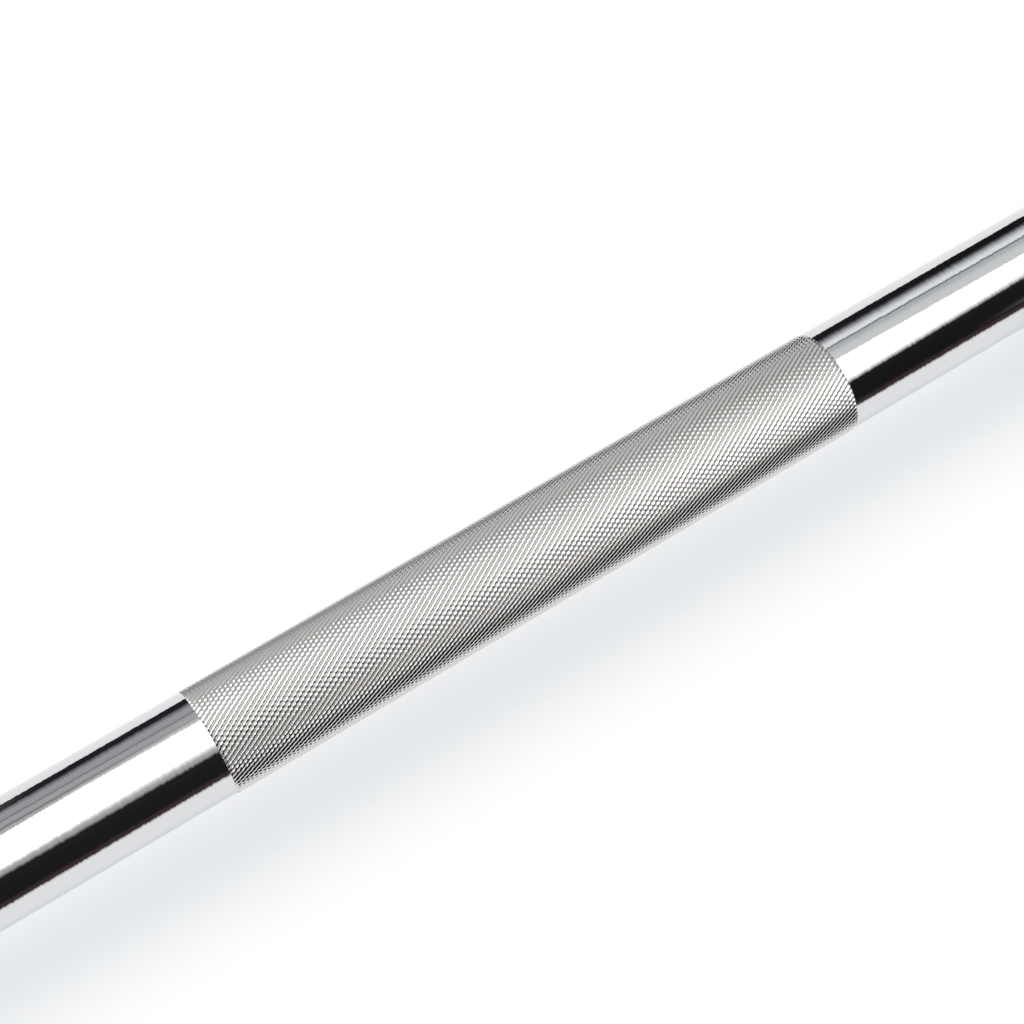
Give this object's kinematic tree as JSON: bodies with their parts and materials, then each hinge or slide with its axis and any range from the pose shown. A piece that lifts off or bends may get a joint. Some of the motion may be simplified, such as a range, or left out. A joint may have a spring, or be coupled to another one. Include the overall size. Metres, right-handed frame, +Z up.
{
  "type": "ez curl bar",
  "caption": "Full-length cambered curl bar: a hard-chromed shaft with a W bend and diamond-knurled grips, and plate sleeves that spin on bearings behind flanged collars.",
  "frame": {"origin": "on the sleeve axis, halfway between the two ends of the bar", "axes": "+X along the bar to the right-hand sleeve, +Z up as the bar lies on a floor on its collars and the valleys of its camber, which lean towards -Y"},
  "size_m": [2.03, 0.0883, 0.076],
  "materials": {
    "shaft_chrome": "hard-chromed steel, polished, diamond-knurled on the grips",
    "sleeve_chrome": "hard-chromed steel tube, polished",
    "collar_chrome": "hard-chromed steel, turned and polished",
    "cap_chrome": "chromed steel disc, satin dish",
    "seal_rubber": "moulded nitrile rubber, matt",
    "washer_steel": "hardened and ground steel",
    "bearing_steel": "drawn and hardened steel",
    "cage_steel": "pressed steel strip",
    "needle_steel": "ground and lapped bearing steel",
    "bushing_bronze": "turned bearing bronze, oiled",
    "spring_steel": "phosphated spring steel, dark and dry"
  },
  "bodies": {
    "shaft": {"bar_shaft": "shaft_chrome", "left_inner_thrust_washer": "washer_steel", "left_outer_thrust_washer": "washer_steel", "left_shaft_retaining_ring": "spring_steel", "right_inner_thrust_washer": "washer_steel", "right_outer_thrust_washer": "washer_steel", "right_shaft_retaining_ring": "spring_steel"},
    "left_sleeve": {"left_sleeve": "sleeve_chrome", "left_collar": "collar_chrome", "left_collar_retaining_ring": "spring_steel", "left_dust_seal": "seal_rubber", "left_bushing": "bushing_bronze", "left_bearing_cup": "bearing_steel", "left_end_cap": "cap_chrome", "left_cap_retaining_ring": "spring_steel"},
    "left_rollers": {"left_bearing_cage": "cage_steel", "left_bearing_needles": "needle_steel"},
    "right_sleeve": {"right_sleeve": "sleeve_chrome", "right_collar": "collar_chrome", "right_collar_retaining_ring": "spring_steel", "right_dust_seal": "seal_rubber", "right_bushing": "bushing_bronze", "right_bearing_cup": "bearing_steel", "right_end_cap": "cap_chrome", "right_cap_retaining_ring": "spring_steel"},
    "right_rollers": {"right_bearing_cage": "cage_steel", "right_bearing_needles": "needle_steel"}
  },
  "joints": [
    {"name": "left_sleeve_spin", "type": "hinge", "parent": "shaft", "child": "left_sleeve", "pos_m": [-0.835, 0, 0], "axis": [1, 0, 0], "continuous": true},
    {"name": "left_roller_spin", "type": "hinge", "parent": "shaft", "child": "left_rollers", "pos_m": [-0.9797, 0, 0], "axis": [1, 0, 0], "continuous": true},
    {"name": "right_sleeve_spin", "type": "hinge", "parent": "shaft", "child": "right_sleeve", "pos_m": [0.835, 0, 0], "axis": [1, 0, 0], "continuous": true},
    {"name": "right_roller_spin", "type": "hinge", "parent": "shaft", "child": "right_rollers", "pos_m": [0.9797, 0, 0], "axis": [1, 0, 0], "continuous": true}
  ],
  "couplings": [
    {"joint": "left_roller_spin", "follows": "left_sleeve_spin", "ratio": 0.54546},
    {"joint": "right_roller_spin", "follows": "right_sleeve_spin", "ratio": 0.54546}
  ]
}
